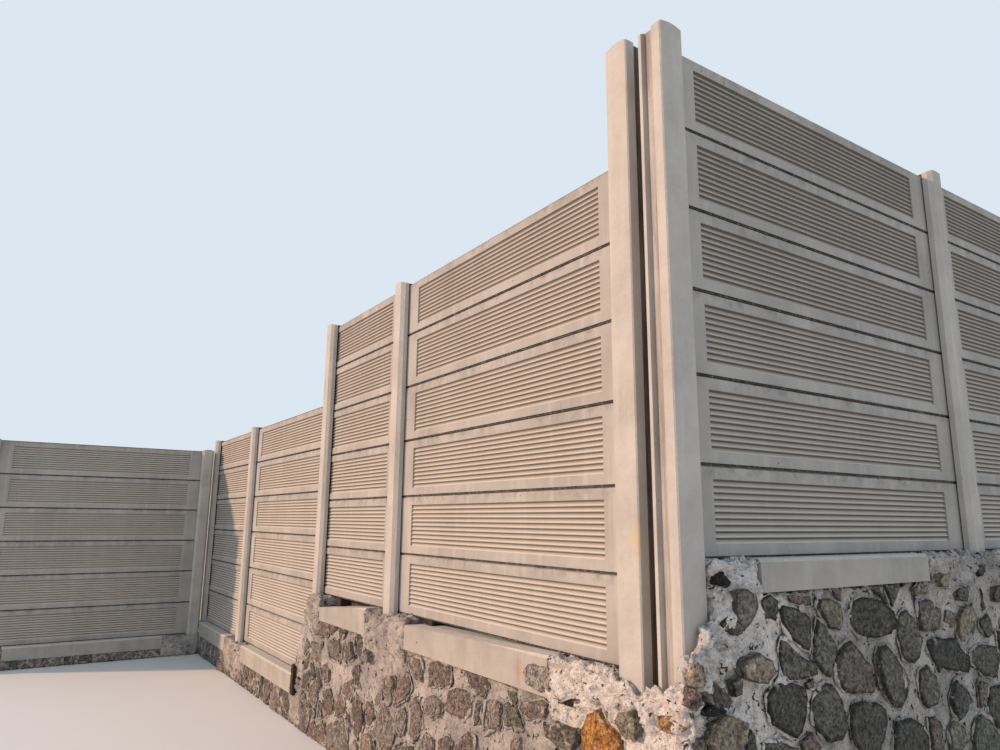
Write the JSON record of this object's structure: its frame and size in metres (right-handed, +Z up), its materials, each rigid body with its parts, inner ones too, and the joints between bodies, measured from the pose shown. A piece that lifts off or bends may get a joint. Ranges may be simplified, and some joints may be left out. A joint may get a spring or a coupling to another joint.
{
  "type": "precast concrete panel fence on a rubble stone plinth",
  "caption": "Fence of fluted precast concrete planks slotted between grooved posts, stepping down along three walls on ground beams and a rubble masonry plinth.",
  "frame": {"origin": "at ground level under the outer corner, where the front faces of the right run's planks and of the left run's planks cross in plan, on the underside of the masonry", "axes": "+X along the right run, whose fluted face looks to -Y; +Y along the left run, whose fluted face looks to -X; +Z up"},
  "size_m": [7.995, 8.89, 4.1248],
  "materials": {
    "plank_concrete": "mould-cast concrete, fluted, light grey with warm stains in the flutes",
    "post_concrete": "mould-cast concrete, smooth with pinholes and chipped arrises",
    "beam_concrete": "site-cast concrete, trowelled",
    "fired_brick": "broken fired clay brick",
    "rubble_masonry": "grey and brown volcanic rubble in pale lime and cement mortar"
  },
  "bodies": {
    "root": {"corner_post_left": "post_concrete", "corner_post_right": "post_concrete", "far_ground_beams": "beam_concrete", "far_planks_course_1": "plank_concrete", "far_planks_course_2": "plank_concrete", "far_planks_course_3": "plank_concrete", "far_planks_course_4": "plank_concrete", "far_planks_course_5": "plank_concrete", "far_planks_course_6": "plank_concrete", "far_plinth": "rubble_masonry", "far_post_1": "post_concrete", "far_post_2": "post_concrete", "left_lower_ground_beams": "beam_concrete", "left_lower_planks_course_1": "plank_concrete", "left_lower_planks_course_2": "plank_concrete", "left_lower_planks_course_3": "plank_concrete", "left_lower_planks_course_4": "plank_concrete", "left_lower_planks_course_5": "plank_concrete", "left_lower_planks_course_6": "plank_concrete", "left_lower_plinth": "rubble_masonry", "left_post_1": "post_concrete", "left_post_2": "post_concrete", "left_post_3": "post_concrete", "left_post_4": "post_concrete", "left_upper_brick_shims": "fired_brick", "left_upper_ground_beams": "beam_concrete", "left_upper_planks_course_1": "plank_concrete", "left_upper_planks_course_2": "plank_concrete", "left_upper_planks_course_3": "plank_concrete", "left_upper_planks_course_4": "plank_concrete", "left_upper_planks_course_5": "plank_concrete", "left_upper_planks_course_6": "plank_concrete", "left_upper_plinth": "rubble_masonry", "right_ground_beams": "beam_concrete", "right_planks_course_1": "plank_concrete", "right_planks_course_2": "plank_concrete", "right_planks_course_3": "plank_concrete", "right_planks_course_4": "plank_concrete", "right_planks_course_5": "plank_concrete", "right_planks_course_6": "plank_concrete", "right_plinth": "rubble_masonry", "right_post_1": "post_concrete", "right_post_2": "post_concrete"}
  },
  "joints": []
}
